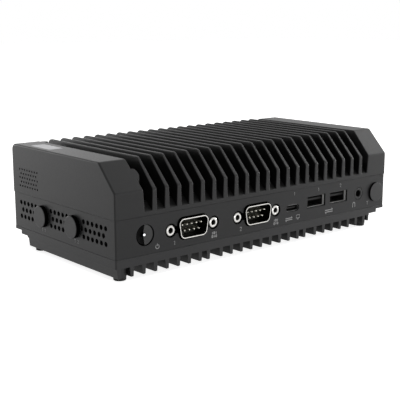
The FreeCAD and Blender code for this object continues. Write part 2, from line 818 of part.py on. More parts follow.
def usb_c_tongue():
    """Contact tongue and the moulded block that closes the rear of the shell."""
    z = usb_c_line
    front = face_y + usb_c_recess
    rear = front + usb_c_length
    tongue = bar(usb_c_x, z, 6.7, 0.7, 0.2, front + 0.9, rear)
    back = bar(usb_c_x, z, usb_c_width - 0.7, usb_c_height - 0.7, usb_c_height / 2 - 0.4, rear - 1.6, rear)
    foot = block(usb_c_x - 3.4, usb_c_x + 3.4, rear, rear + 1.2, board_top, z + usb_c_height / 2)
    return joined(tongue, [back, foot])


def usb_a_shell(x):
    """Folded steel shell, open at the front, with two spring tabs cut in its floor and roof."""
    front = face_y + usb_a_recess
    shell = tube(x, usb_a_line, usb_a_width, usb_a_height, 0.4, 0.32, front, front + usb_a_length)
    slots = []
    for side in (-1, 1):
        for z in (usb_a_line - usb_a_height / 2, usb_a_line + usb_a_height / 2):
            slots.append(block(x + side * 3.2 - 0.9, x + side * 3.2 + 0.9, front + 3.3, front + 7.3,
                               z - 0.6, z + 0.6))
    return shell.cut(slots)


def usb_a_tongue(x):
    """Moulded tongue with a chamfered nose in the upper half of the shell, and the block at its rear."""
    front = face_y + usb_a_recess + 1.3
    rear = face_y + usb_a_recess + usb_a_length
    z = usb_a_line + tongue_lift
    half = tongue_thick / 2
    bevel = 0.5
    tongue = slab([(front, z - half + bevel), (front + bevel, z - half), (rear, z - half),
                   (rear, z + half), (front + bevel, z + half), (front, z + half - bevel)],
                  0, "yz", x - 5.55, x + 5.55)
    back = bar(x, usb_a_line, usb_a_width - 0.8, usb_a_height - 0.8, 0.3, rear - 3.2, rear)
    solid = joined(tongue, [back])
    return solid.cut(usb_a_contact_solids(x))


def usb_a_contact_solids(x):
    """Four flat contacts let into the underside of the tongue."""
    front = face_y + usb_a_recess + 2.2
    z = usb_a_line + tongue_lift - tongue_thick / 2
    places = (-3.5, -1.0, 1.0, 3.5)
    return [block(x + dx - 0.5, x + dx + 0.5, front, front + 7.0, z, z + 0.25) for dx in places]


def audio_jack():
    """Moulded jack with a round nose level with the panel."""
    front = inner_front + seat_gap
    body = bar(audio_x, audio_level, 6.4, 2 * (audio_level - board_top - 0.05), 0.4, front, front + 12.4)
    nose = lengthwise(audio_nose_radius, audio_x, audio_level, face_y, inner_front + 0.5)
    solid = joined(body, [nose])
    edges = [e for e in solid.Edges if e.BoundBox.YMax < face_y + 0.01]
    solid = solid.makeChamfer(0.25, edges)
    bore = lengthwise(audio_bore_radius, audio_x, audio_level, face_y - 1, face_y + audio_bore_length)
    mouth = Part.makeCone(audio_bore_radius + audio_mouth, audio_bore_radius, audio_mouth,
                          Vector(audio_x, face_y, audio_level), Vector(0, 1, 0))
    return solid.cut([bore, mouth])


# Blanking plugs

def blanking_plug(proud):
    """Round plug along +Z from the wall's face: domed disc, neck, and a barb behind the wall."""
    tip = -(frame_wall + plug_neck_length)
    barb = frame_wall + 0.15
    profile = [(0, proud), (plug_radius, proud), (plug_radius, 0),
               (plug_neck_radius - 0.05, 0), (plug_neck_radius - 0.05, -barb),
               (plug_neck_radius + 0.35, -barb), (plug_neck_radius - 0.3, tip), (1.9, tip),
               (1.9, -frame_wall), (0, -frame_wall)]
    radii = (0, 0.35, 0, 0, 0, 0, 0, 0, 0, 0)
    face = rounded_face(profile, radii, "xz", 0)
    return face.revolve(Vector(0, 0, 0), Vector(0, 0, 1), 360)


def plug_at(place, direction, proud):
    """The plug with its disc facing the given way."""
    plug = blanking_plug(proud)
    turn = FreeCAD.Rotation(Vector(0, 0, 1), direction)
    plug.Placement = FreeCAD.Placement(place, turn)
    return plug


def side_plugs(side):
    return group([plug_at(Vector(side * side_x, y, z), Vector(side, 0, 0), side_plug_proud)
                  for y, z in side_plug_places])


# Rear ports

def network_shell(x):
    """Steel cage round a network socket, with the opening of the jack in its rear face."""
    z = network_line
    outer = back_y - 0.2
    front = outer - network_depth
    cage = bar(x, z, network_width, network_height, 0.4, front, outer)
    room = bar(x, z, network_width - 0.8, network_height - 0.8, 0.2, front + 0.4, outer - 0.4)
    mouth = bar(x, z, network_width - 2.2, network_height - 2.4, 0.3, outer - 1, outer + 1)
    return cage.cut([room, mouth])


def network_insert(x):
    """Moulded jack body with the stepped opening for the plug and two light windows."""
    z = network_line
    outer = back_y - 0.2
    front = outer - network_depth
    body = bar(x, z, network_width - 1.0, network_height - 1.0, 0.2, front + 0.5, outer - 0.5)
    nose = bar(x, z, network_width - 2.4, network_height - 2.6, 0.2, outer - 1, outer - 0.1)
    solid = joined(body, [nose])
    low = z - network_height / 2 + 1.5
    plug_room = block(x - 5.9, x + 5.9, front + 4.5, outer + 1, low + 1.6, low + 8.5)
    key_room = block(x - 3.1, x + 3.1, front + 4.5, outer + 1, low + 0.2, low + 1.7)
    return solid.cut([plug_room, key_room])


def network_contacts(x):
    """Eight sprung wires that slant down from the roof of the jack's room."""
    z = network_line
    outer = back_y - 0.2
    roof = z - network_height / 2 + 1.5 + 8.5
    deep = outer - network_depth + 4.5
    wires = []
    for n in range(8):
        px = x + (n - 3.5) * 1.02
        wires.append(slab([(deep, roof - 1.9), (deep, roof - 2.2), (outer - 3.2, roof - 0.3),
                           (outer - 3.2, roof)], 0, "yz", px - 0.2, px + 0.2))
    return group(wires)


def display_shell(number):
    """Steel shell of a display socket; one has slanted lower corners, the other one cut corner."""
    return display_body(number, 0).cut(display_body(number, 0.35))


def display_body(number, inset):
    x = display_x[number]
    wide = display_width[number] / 2 - inset
    high = display_height[number] / 2 - inset
    z = board_top + seat_gap + display_height[number] / 2
    cut = 1.9
    y0 = back_y - 0.15 - 11.0 - (1 if inset else 0)
    y1 = back_y - 0.15 + (1 if inset else 0)
    if number == 0:
        points = [(x - wide + cut, z - high), (x + wide, z - high), (x + wide, z + high),
                  (x - wide, z + high), (x - wide, z - high + cut)]
    else:
        points = [(x - wide + cut, z - high), (x + wide - cut, z - high), (x + wide, z - high + cut),
                  (x + wide, z + high), (x - wide, z + high), (x - wide, z - high + cut)]
    return slab(points, 0.3, "xz", y0, y1)


def display_tongue(number):
    """Contact tongue and rear block of a display socket."""
    x = display_x[number]
    z = board_top + seat_gap + display_height[number] / 2
    front = back_y - 0.15 - 11.0
    tongue = bar(x, z + 0.3, display_width[number] - 4.6, 1.1, 0.2, front, back_y - 1.6)
    back = bar(x, z + 0.8, display_width[number] - 1.2, display_height[number] - 2.5, 0.2,
               front, front + 3.5)
    return joined(tongue, [back])


def dc_inlet():
    """Round power inlet: a collar through the panel, a moulded body behind it."""
    z = dc_line
    collar = lengthwise(dc_collar_radius, dc_x, z, inner_back - 0.5, back_y + shell_proud)
    edges = [e for e in collar.Edges if e.BoundBox.YMin > back_y + shell_proud - 0.01]
    collar = collar.makeChamfer(0.4, edges)
    body = block(dc_x - 5.6, dc_x + 5.6, inner_back - 11.0, inner_back - 0.4, board_top, z + 5.6)
    solid = joined(collar, [body])
    mouth = back_y + shell_proud
    return solid.cut(lengthwise(dc_bore_radius, dc_x, z, mouth - dc_bore_length, mouth + 1))


def dc_pin():
    mouth = back_y + shell_proud
    pin = lengthwise(dc_pin_radius, dc_x, dc_line, mouth - dc_bore_length, mouth - 1.2)
    ends = [e for e in pin.Edges if e.BoundBox.YMin > mouth - 1.21]
    return pin.makeFillet(0.5, ends)


# Inside

def main_board():
    """Circuit board, notched round the sockets that sink into it."""
    x1 = right_edge - board_margin_x
    y0 = front_edge + board_margin_front
    y1 = rear_edge - board_margin_rear
    board = slab(rectangle(0, (y0 + y1) / 2, 2 * x1, y1 - y0), 1.5, "xy", board_bottom, board_top)
    cuts = []
    for x in serial_x:
        half = flange_width / 2 + panel_gap
        cuts.append(block(x - half, x + half, y0 - 1, flange_rear + 4 + panel_gap, 0, height))
        half = insulator_width / 2 + panel_gap
        cuts.append(block(x - half, x + half, y0 - 1, flange_rear + insulator_depth + panel_gap, 0, height))
    for x in network_x:
        cuts.append(block(x - network_width / 2 - 0.3, x + network_width / 2 + 0.3,
                          back_y - 0.2 - network_depth - 0.3, y1 + 1, 0, height))
    for x, y in standoff_places:
        cuts.append(upright(board_screw_radius + 0.15, x, y, 0, height))
    for x in serial_x:
        for px, pz in serial_pin_places(x):
            cuts.append(upright(pin_tail_radius + seat_gap, px, pin_reach(pz) - pin_radius, 0, height))
    return board.cut(cuts)


def processor():
    """Chip package: thin carrier with the lid on it."""
    half = processor_size / 2
    carrier = block(processor_x - half, processor_x + half, processor_y - half, processor_y + half,
                    board_top, board_top + 0.6)
    lid = slab(rectangle(processor_x, processor_y, processor_size - 6, processor_size - 6), 1.0, "xy",
               board_top + 0.6, board_top + processor_height)
    return joined(carrier, [lid])


def thermal_pad():
    z = board_top + processor_height
    return slab(rectangle(processor_x, processor_y, processor_size - 4, processor_size - 4), 0.5, "xy",
                z, z + pad_thick)


def memory_socket():
    """Long edge socket with two sprung arms that hold the module's sides."""
    half = module_length / 2 + 2.0
    body = block(memory_x - half, memory_x + half, memory_y - 3, memory_y + 3.5, board_top, board_top + 4.0)
    arms = [block(memory_x + side * (half - 0.6) - 0.6, memory_x + side * (half - 0.6) + 0.6,
                  memory_y - module_width + 5, memory_y, board_top, board_top + 3.6) for side in (-1, 1)]
    half = module_length / 2 + seat_gap
    slot = block(memory_x - half, memory_x + half, memory_y - 4, memory_y + 1.1,
                 memory_level - 0.05, memory_level + 1.05)
    return joined(body, arms).cut(slot)


def memory_module():
    """Small memory card with eight chips on its upper face."""
    half = module_length / 2
    card = block(memory_x - half, memory_x + half, memory_y + 1 - module_width, memory_y + 1,
                 memory_level, memory_level + 1.0)
    notches = [upright(0.9, memory_x + side * half, memory_y - 12, 0, height) for side in (-1, 1)]
    chips = []
    for n in range(8):
        x = memory_x + (n - 3.5) * chip_pitch
        chips.append(block(x - 3.6, x + 3.6, memory_y - 20, memory_y - 8, memory_level + 1.0,
                           memory_level + 1.9))
    return joined(card.cut(notches), chips)


def card_socket(x, y, z0, z1, slot_z):
    """Edge socket of a small plug-in card; the card enters from the rear."""
    half = card_width / 2 + seat_gap
    body = block(x - half - 0.8, x + half + 0.8, y - 2.5, y + 2.5, z0, z1)
    return body.cut(block(x - half, x + half, y - 0.6, y + 4, slot_z - 0.05, slot_z + card_thick + 0.05))


def plug_in_card(x, y, length, slot_z, chip_side, chips):
    """Small card with chips on one face and a half-round screw notch at its far end."""
    card = block(x - card_width / 2, x + card_width / 2, y - 0.5, y + length, slot_z, slot_z + card_thick)
    card = card.cut(upright(1.6, x, y + length, 0, height))
    face = slot_z + (card_thick if chip_side > 0 else 0)
    z0, z1 = sorted((face, face + chip_side * 1.2))
    return joined(card, [block(x - 7.5, x + 7.5, y + start, y + start + size, z0, z1)
                         for start, size in chips])


def card_standoff(x, y, z0, z1):
    post = upright(2.6, x, y, z0, z1)
    return post.cut(upright(0.9, x, y, z0 - 1, z1 + 1))


def card_standoffs():
    """Two threaded posts, one above the board and one under it, that carry the cards' far ends."""
    over = card_standoff(ssd_x, ssd_y + ssd_length, board_top, board_top + card_lift)
    under = card_standoff(radio_x, radio_y + radio_length, board_bottom - card_lift, board_bottom)
    return group([over, under])


def card_screws():
    """A low-headed screw through the far end of each card."""
    y = ssd_y + ssd_length
    z = board_top + card_lift + card_thick
    over = joined(upright(2.2, ssd_x, y, z, z + 0.8), [upright(0.85, ssd_x, y, z - 2.3, z)])
    y = radio_y + radio_length
    z = board_bottom - card_lift - card_thick
    under = joined(upright(2.2, radio_x, y, z - 0.8, z), [upright(0.85, radio_x, y, z, z + 2.3)])
    return group([over, under])


def coin_cell_holder():
    """Ring under the board, open at the bottom, that clips round the cell."""
    ring = upright(11.4, coin_x, coin_y, board_bottom - 4.2, board_bottom)
    return ring.cut([upright(10.1, coin_x, coin_y, 0, board_bottom - 0.8),
                     block(coin_x - 3, coin_x + 3, coin_y - 13, coin_y, 0, board_bottom - 0.8)])


def coin_cell():
    cell = upright(10.0, coin_x, coin_y, board_bottom - 4.1, board_bottom - 0.9)
    edges = [e for e in cell.Edges if len(e.Vertexes) == 1]
    return cell.makeFillet(0.4, edges)


def power_coils():
    """Three moulded coils beside the power inlet."""
    coils = []
    for n in range(3):
        x = 54.0 + n * 9.0
        coil = slab(rectangle(x, 19.0, 7.0, 6.6), 0.8, "xy", board_top, board_top + 4.2)
        coils.append(coil)
    return group(coils)


def speaker():
    """Flat speaker against the left wall: a box with its oval cone towards the holes."""
    x0 = -right_edge + cover_wall + seat_gap
    y, z = speaker_y, speaker_level
    box = slab(rectangle(y, z, speaker_length, speaker_height), 1.2, "yz", x0, x0 + 4.6)
    ring = slab(rectangle(y, z, speaker_length - 3, speaker_height - 2.6), 4.6, "yz", x0 - 1, x0 + 0.9)
    return box.cut(ring)


def screw(x, y, seat, length, radius, head_radius, head_height, way):
    """A pan-headed screw whose head sits on the seat and whose shank runs the given way along z."""
    head = upright(head_radius, x, y, *sorted((seat, seat - way * head_height)))
    rim = [e for e in head.Edges if len(e.Vertexes) == 1
           and abs(e.BoundBox.ZMin - (seat - way * head_height)) < 0.01]
    head = head.makeFillet(head_height * 0.4, rim)
    shank = upright(radius, x, y, *sorted((seat - way * 0.1, seat + way * length)))
    socket = slab(hex_points(x, y, head_radius * 0.9), 0, "xy",
                  *sorted((seat - way * (head_height + 1), seat - way * head_height * 0.4)))
    return joined(head, [shank]).cut(socket)


def case_screws():
    """Four screws up through the bottom cover into the frame's posts."""
    length = seam_low - screw_seat + post_height - 4
    return group([screw(x, y, screw_seat, length, case_screw_radius - 0.25, 2.75, 1.8, 1)
                  for x, y in post_places])


def board_screws():
    """Six screws that hold the board on its posts."""
    return group([screw(x, y, board_top, board_thick + 3.5, pilot_radius, 2.3, 1.5, -1)
                  for x, y in standoff_places])


def lug_screws():
    """Four screws up through the frame's lugs into the heatsink's bosses."""
    seat = seam_high - lug_thick
    return group([screw(x, y, seat, lug_thick + 5, pilot_radius, 2.3, 1.6, 1)
                  for x, y in boss_places])


def build():
    """Every piece of the computer under the name of its node."""
    over, under = board_top, board_bottom
    hung = under - card_lift - card_thick
    nodes = {
        "heatsink_cover": heatsink_cover(),
        "badge_plate": badge_plate(),
        "middle_frame": middle_frame(),
        "bottom_cover": bottom_cover(),
        "rubber_feet": rubber_feet(),
        "power_button": power_button(),
        "power_light_lens": power_light_lens(),
        "switch_plunger": switch_plunger(),
        "power_switch": power_switch(),
        "jack_screws": jack_screws(),
        "usb_c_shell": usb_c_shell(),
        "usb_c_tongue": usb_c_tongue(),
        "audio_jack": audio_jack(),
        "blanking_plug_front": plug_at(Vector(plug_front_x, face_y, plug_front_level),
                                       Vector(0, -1, 0), front_plug_proud),
        "blanking_plugs_left": side_plugs(-1),
        "blanking_plugs_right": side_plugs(1),
        "dc_inlet": dc_inlet(),
        "dc_pin": dc_pin(),
        "main_board": main_board(),
        "processor": processor(),
        "thermal_pad": thermal_pad(),
        "memory_socket": memory_socket(),
        "memory_module": memory_module(),
        "ssd_socket": card_socket(ssd_x, ssd_y, over, over + 4.0, over + card_lift),
        "ssd_card": plug_in_card(ssd_x, ssd_y, ssd_length, over + card_lift, 1, ((8, 14), (25, 10))),
        "radio_socket": card_socket(radio_x, radio_y, under - 4.0, under, hung),
        "radio_card": plug_in_card(radio_x, radio_y, radio_length, hung, -1, ((7, 15),)),
        "card_standoffs": card_standoffs(),
        "card_screws": card_screws(),
        "coin_cell_holder": coin_cell_holder(),
        "coin_cell": coin_cell(),
        "power_coils": power_coils(),
        "speaker": speaker(),
        "board_screws": board_screws(),
        "case_screws": case_screws(),
        "lug_screws": lug_screws(),
    }
    for number, x in enumerate(serial_x, 1):
        nodes["serial_shell_%d" % number] = serial_shell(x)
        nodes["serial_insulator_%d" % number] = serial_insulator(x)
        nodes["serial_pins_%d" % number] = serial_pins(x)
    for number, x in enumerate(usb_a_x, 1):
        nodes["usb_a_shell_%d" % number] = usb_a_shell(x)
        nodes["usb_a_tongue_%d" % number] = usb_a_tongue(x)
        nodes["usb_a_contacts_%d" % number] = group(usb_a_contact_solids(x))
    for number, x in enumerate(network_x, 1):
        nodes["network_shell_%d" % number] = network_shell(x)
        nodes["network_insert_%d" % number] = network_insert(x)
        nodes["network_contacts_%d" % number] = network_contacts(x)
    for number in (0, 1):
        nodes["display_shell_%d" % (number + 1)] = display_shell(number)
        nodes["display_tongue_%d" % (number + 1)] = display_tongue(number)
    return nodes


for name, shape in build().items():
    save(name, shape)
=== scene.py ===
# %% [markdown]
# A fanless industrial computer is a stack of three black castings: a tall heatsink cover with
# long fins, a middle frame that carries the sockets, and a bottom cover with short fins. The
# castings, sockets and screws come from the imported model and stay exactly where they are. This
# lesson gives every one of them its finish, adds what is printed, threaded or too fine for the
# model, and then sets the camera and the light.

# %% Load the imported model
import json
import bpy
import numpy as np
from mathutils import Matrix, Vector


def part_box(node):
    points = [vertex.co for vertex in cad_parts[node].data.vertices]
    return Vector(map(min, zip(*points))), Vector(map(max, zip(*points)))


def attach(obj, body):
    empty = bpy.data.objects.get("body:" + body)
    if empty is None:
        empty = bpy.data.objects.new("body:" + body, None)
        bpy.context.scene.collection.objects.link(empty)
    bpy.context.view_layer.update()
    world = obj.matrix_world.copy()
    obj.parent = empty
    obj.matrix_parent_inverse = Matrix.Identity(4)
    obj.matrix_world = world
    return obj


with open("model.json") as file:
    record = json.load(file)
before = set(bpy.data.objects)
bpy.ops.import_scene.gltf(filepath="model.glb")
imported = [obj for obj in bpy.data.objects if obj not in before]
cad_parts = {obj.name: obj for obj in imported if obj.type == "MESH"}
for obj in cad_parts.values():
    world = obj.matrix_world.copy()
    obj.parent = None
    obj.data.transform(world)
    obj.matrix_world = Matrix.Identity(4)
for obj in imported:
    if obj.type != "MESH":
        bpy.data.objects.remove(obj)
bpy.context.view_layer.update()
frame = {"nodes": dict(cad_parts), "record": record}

mm = 0.001

# %% [markdown]
# Every finish below starts the same way: a Principled shader, and a pattern read from the
# piece's own Object coordinates. Those coordinates are in metres and stay with the piece when
# it moves, so a grain of 0.4 mm is a noise of scale 2500. A picture pasted on the surface would
# also work, but a pattern worked out by nodes stays sharp at any distance.

# %% Small helpers for node materials
def start(name, colour, roughness, metallic=0.0, specular=0.5):
    """A new material, its node tree, its shader and the Object coordinates of the piece."""
    material = bpy.data.materials.new(name)
    material.use_nodes = True
    tree = material.node_tree
    shader = tree.nodes["Principled BSDF"]
    shader.inputs["Base Color"].default_value = (*colour, 1)
    shader.inputs["Roughness"].default_value = roughness
    shader.inputs["Metallic"].default_value = metallic
    shader.inputs["Specular IOR Level"].default_value = specular
    coords = tree.nodes.new("ShaderNodeTexCoord")
    return material, tree, shader, coords.outputs["Object"]


def stretched(tree, vector, scale):
    """The same coordinates squeezed by a factor along each axis, for brushed and drawn surfaces."""
    mapping = tree.nodes.new("ShaderNodeMapping")
    mapping.inputs["Scale"].default_value = scale
    tree.links.new(vector, mapping.inputs["Vector"])
    return mapping.outputs["Vector"]


def grain(tree, vector, scale, detail=3.0):
    """Cloudy noise between 0 and 1; the scale is in cells per metre."""
    noise = tree.nodes.new("ShaderNodeTexNoise")
    noise.inputs["Scale"].default_value = scale
    noise.inputs["Detail"].default_value = detail
    tree.links.new(vector, noise.inputs["Vector"])
    return noise.outputs["Fac"]


def ranged(tree, value, low, high, start_at=0.3, end_at=0.7):
    """Stretches the middle of a noise to run from low to high."""
    node = tree.nodes.new("ShaderNodeMapRange")
    for name, number in (("From Min", start_at), ("From Max", end_at), ("To Min", low), ("To Max", high)):
        node.inputs[name].default_value = number
    tree.links.new(value, node.inputs["Value"])
    return node.outputs["Result"]


def blended(tree, factor, dark, light):
    """A colour between two, by a factor from 0 to 1."""
    mix = tree.nodes.new("ShaderNodeMix")
    mix.data_type = "RGBA"
    mix.inputs["A"].default_value = (*dark, 1)
    mix.inputs["B"].default_value = (*light, 1)
    tree.links.new(factor, mix.inputs["Factor"])
    return mix.outputs["Result"]


def raised(tree, shader, height, distance, strength=1.0, under=None):
    """Bump from a height between 0 and 1; the distance is in metres. It can lie on an earlier bump."""
    bump = tree.nodes.new("ShaderNodeBump")
    bump.inputs["Distance"].default_value = distance
    bump.inputs["Strength"].default_value = strength
    tree.links.new(height, bump.inputs["Height"])
    if under:
        tree.links.new(under, bump.inputs["Normal"])
    tree.links.new(bump.outputs["Normal"], shader.inputs["Normal"])
    return bump.outputs["Normal"]


def shaded(colour, factor):
    """The colour made darker or lighter by one factor."""
    return tuple(channel * factor for channel in colour)


def listed(kind, *materials):
    """Prints the names of the materials that a cell has made."""
    print(kind + ":", ", ".join(material.name for material in materials))


# %% [markdown]
# The castings are coated with black powder that melts into a fine pebbled skin. Three things
# make it read as powder: pebbles of about 0.4 mm that break up the reflections, a gloss that
# changes from one millimetre to the next, and a tone that drifts over a few centimetres. A
# single grey with one roughness would look like painted card. The three castings share one
# black, and each gets a copy of the coat made darker or lighter: painted shade on the heatsink
# and the frame, painted light on the bottom cover.

# %% Powder coat
cloud_scale, coarse_scale, pebble_scale = 45, 900, 2600
coarse_height, pebble_height = 0.04 * mm, 0.03 * mm


def powder_coat(name, colour, roughness, specular=0.2):
    """A coat whose tone, gloss and bump follow three noises, the broadest first."""
    material, tree, shader, place = start(name, colour, roughness, specular=specular)
    clouds = grain(tree, place, cloud_scale)
    pebbles = grain(tree, place, pebble_scale, 2)
    coarse = grain(tree, place, coarse_scale, 2)
    tone = ranged(tree, clouds, 0.0, 1.0)
    tree.links.new(blended(tree, tone, shaded(colour, 0.94), shaded(colour, 1.06)),
                   shader.inputs["Base Color"])
    tree.links.new(ranged(tree, coarse, roughness - 0.03, roughness + 0.03), shader.inputs["Roughness"])
    first = raised(tree, shader, coarse, coarse_height, 0.2)
    raised(tree, shader, pebbles, pebble_height, 0.25, first)
    return material


casting_black = (0.016, 0.016, 0.0165)
# Lit and shaded copies of one coat: painted shade on the heatsink and frame, painted light below.
powder = powder_coat("powder_coat_heatsink", shaded(casting_black, 0.5), 0.42, 0.225)
powder_frame = powder_coat("powder_coat_frame", shaded(casting_black, 0.8), 0.36)
powder_low = powder_coat("powder_coat_bottom", shaded(casting_black, 1.5), 0.42)
listed("powder coats", powder, powder_frame, powder_low)

# %% [markdown]
# The channels between the long fins are so deep and narrow that hardly any light comes back out
# of them, so their walls are painted black as shade, blacker than the edges of the fins: a place
# counts as a channel when it lies between the end blocks and its surface either faces sideways,
# or faces up and is as low as the channel's floor.

# %% Painted shade in the channels
def compared(tree, value, kind, limit):
    """1 where the value is GREATER_THAN or LESS_THAN the limit, and 0 elsewhere."""
    node = tree.nodes.new("ShaderNodeMath")
    node.operation = kind
    tree.links.new(value, node.inputs[0])
    node.inputs[1].default_value = limit
    return node.outputs["Value"]


def joined(tree, first, second, kind):
    """Two factors joined by MULTIPLY for and, or MAXIMUM for or."""
    node = tree.nodes.new("ShaderNodeMath")
    node.operation = kind
    tree.links.new(first, node.inputs[0])
    tree.links.new(second, node.inputs[1])
    return node.outputs["Value"]


def split(tree, vector):
    """The x, y and z of a vector."""
    parts = tree.nodes.new("ShaderNodeSeparateXYZ")
    tree.links.new(vector, parts.inputs["Vector"])
    return [parts.outputs[axis] for axis in "XYZ"]


def blackened(material, inside, dark):
    """Puts a dark colour over the base colour of a material where the factor inside is 1."""
    tree = material.node_tree
    shader = tree.nodes["Principled BSDF"]
    coloured = shader.inputs["Base Color"].links[0].from_socket
    mix = tree.nodes.new("ShaderNodeMix")
    mix.data_type = "RGBA"
    mix.inputs["B"].default_value = (*dark, 1)
    tree.links.new(inside, mix.inputs["Factor"])
    tree.links.new(coloured, mix.inputs["A"])
    tree.links.new(mix.outputs["Result"], shader.inputs["Base Color"])


field_half = 74.4 * mm
channel_floor = 33.3 * mm
channel_painted_shade = (0.001, 0.001, 0.001)
sideways_limit, upward_limit = 0.8, 0.5
tree = powder.node_tree
coords = tree.nodes["Texture Coordinate"]
x, _, z = split(tree, coords.outputs["Object"])
facing_x, _, facing_z = split(tree, coords.outputs["Normal"])
sideways = joined(tree, compared(tree, facing_x, "GREATER_THAN", sideways_limit),
                  compared(tree, facing_x, "LESS_THAN", -sideways_limit), "MAXIMUM")
low = joined(tree, compared(tree, z, "LESS_THAN", channel_floor),
             compared(tree, facing_z, "GREATER_THAN", upward_limit), "MULTIPLY")
between = joined(tree, compared(tree, x, "GREATER_THAN", -field_half),
                 compared(tree, x, "LESS_THAN", field_half), "MULTIPLY")
painted_shade_in_channel = joined(tree, joined(tree, sideways, low, "MAXIMUM"), between, "MULTIPLY")
# Painted shade: the walls of the channels are painted nearly black.
blackened(powder, painted_shade_in_channel, channel_painted_shade)
print("black channels in", powder.name, "out to x =", round(field_half / mm, 1), "mm")

# %% [markdown]
# Moulded plastic is smoother than powder and has a faint spark-eroded texture from its mould.
# The same function serves plastic and rubber: only the colour, the gloss and the grain change.

# %% Moulded plastic and rubber
patch_scale = 160


def moulded(name, colour, roughness, size=0.12 * mm, depth=0.01 * mm, specular=0.5):
    """Plastic or rubber in uneven patches of tone, with a texture of a given size and depth."""
    material, tree, shader, place = start(name, colour, roughness, specular=specular)
    texture = grain(tree, place, 1 / size, 2)
    patches = grain(tree, place, patch_scale)
    tree.links.new(blended(tree, ranged(tree, patches, 0, 1), shaded(colour, 0.88), shaded(colour, 1.12)),
                   shader.inputs["Base Color"])
    tree.links.new(ranged(tree, texture, roughness - 0.04, roughness + 0.06), shader.inputs["Roughness"])
    raised(tree, shader, texture, depth, 0.5)
    return material


def plug_painted_shade_rim(name, axis):
    """Plug plastic whose rim, which faces away from the plug's axis, is painted black as shade and has no
    gloss.
    """
    face_specular = 0.25
    rim_limit = 0.5
    material = moulded(name, (0.017, 0.017, 0.0175), 0.45, specular=face_specular)
    tree = material.node_tree
    facing = split(tree, tree.nodes["Texture Coordinate"].outputs["Normal"])["xyz".index(axis)]
    away = tree.nodes.new("ShaderNodeMath")
    away.operation = "ABSOLUTE"
    tree.links.new(facing, away.inputs[0])
    rim = compared(tree, away.outputs["Value"], "LESS_THAN", rim_limit)
    # Painted shade: the plug's rim is painted nearly black and loses its gloss.
    blackened(material, rim, (0.002, 0.002, 0.002))
    tree.links.new(ranged(tree, rim, face_specular, 0, 0, 1),
                   tree.nodes["Principled BSDF"].inputs["Specular IOR Level"])
    return material


side_plug_plastic = plug_painted_shade_rim("side_plug_plastic", "x")
front_plug_plastic = plug_painted_shade_rim("front_plug_plastic", "y")
socket_plastic = moulded("socket_plastic", (0.005, 0.005, 0.005), 0.42, specular=0.3)
insulator_plastic = moulded("insulator_plastic", (0.008, 0.0085, 0.005), 0.4, specular=0.25)
chip_plastic = moulded("chip_plastic", (0.02, 0.02, 0.021), 0.6)
foot_rubber = moulded("foot_rubber", (0.010, 0.010, 0.010), 0.75, 0.3 * mm, 0.03 * mm, 0.3)
pad_rubber = moulded("pad_rubber", (0.25, 0.27, 0.29), 0.8, 0.4 * mm, 0.04 * mm, 0.3)
listed("plastics", side_plug_plastic, front_plug_plastic, socket_plastic, insulator_plastic,
       chip_plastic)
listed("rubbers", foot_rubber, pad_rubber)

# %% [markdown]
# A few small pieces change tone from one side to the other. The tongues in the two wide sockets
# and in the small oval one are black with a painted highlight, a pale edge, on top, and the
# dished key has a painted reflection: black on its left half and grey on its right, for a dark
# room and a lighter one. A coordinate of the piece, stretched over a short distance, is the
# factor between the two tones, and the places where it starts and ends come from the piece's
# own box.

# %% Tones that change along an axis
def along_axis(tree, place, axis, first, last):
    """A factor from 0 at the first coordinate to 1 at the last, in metres, along x, y or z."""
    return ranged(tree, split(tree, place)["xyz".index(axis)], 0, 1, first, last)


def smooth_plastic(name, colour, roughness, specular):
    """Polished plastic with a trace of texture; its colour is mixed, so that it can be blackened."""
    trace_scale, trace_height = 9000, 0.003 * mm
    material, tree, shader, place = start(name, colour, roughness, specular=specular)
    texture = grain(tree, place, trace_scale, 2)
    tree.links.new(blended(tree, texture, shaded(colour, 0.95), shaded(colour, 1.05)),
                   shader.inputs["Base Color"])
    raised(tree, shader, texture, trace_height, 0.5)
    return material, tree, place


def tongue_painted_highlight(node, pale):
    """Black plastic with a painted highlight, a pale edge a third of a millimetre wide, along its top front
    corner.
    """
    edge, edge_end_z, edge_end_y = 0.3 * mm, 0.45 * mm, 0.5 * mm
    material, tree, place = smooth_plastic("tongue_" + node, (pale,) * 3, 0.45, 0.2)
    low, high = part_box(node)
    below = along_axis(tree, place, "z", high[2] - edge, high[2] - edge_end_z)
    behind = along_axis(tree, place, "y", low[1] + edge, low[1] + edge_end_y)
    blackened(material, joined(tree, below, behind, "MAXIMUM"), (0.004, 0.004, 0.004))
    return material


wide_tongue_painted_highlight = tongue_painted_highlight("usb_a_tongue_1", 0.6)
oval_tongue_painted_highlight = tongue_painted_highlight("usb_c_tongue", 0.5)

button_low, button_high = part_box("power_button")
button_middle = (button_low[0] + button_high[0]) / 2
half_change = 0.15 * mm
# Painted reflection: the key's left half is painted black and its right half grey.
button_plastic, tree, place = smooth_plastic("button_plastic", (0.09, 0.09, 0.09), 0.5, 0.02)
painted_reflection_left_half = along_axis(tree, place, "x", button_middle + half_change, button_middle - half_change)
blackened(button_plastic, painted_reflection_left_half, (0.0005, 0.0005, 0.0005))
# The tongues carry a painted highlight and the key a painted reflection.
listed("plastics with painted light", wide_tongue_painted_highlight, oval_tongue_painted_highlight, button_plastic)

# %% [markdown]
# The socket shells are pressed from nickel-plated steel and the contacts are flashed with gold.
# Drawn and turned metal has lines along the way the tool ran, so the noise is squeezed along
# the two other axes, and both its gloss and its bump follow those lines.

# %% Plated metals
squeeze = 12
along_x, along_y, along_z = (1, squeeze, squeeze), (squeeze, 1, squeeze), (squeeze, squeeze, 1)
line_width, line_depth = 0.3 * mm, 0.004 * mm
stain_scale = 260


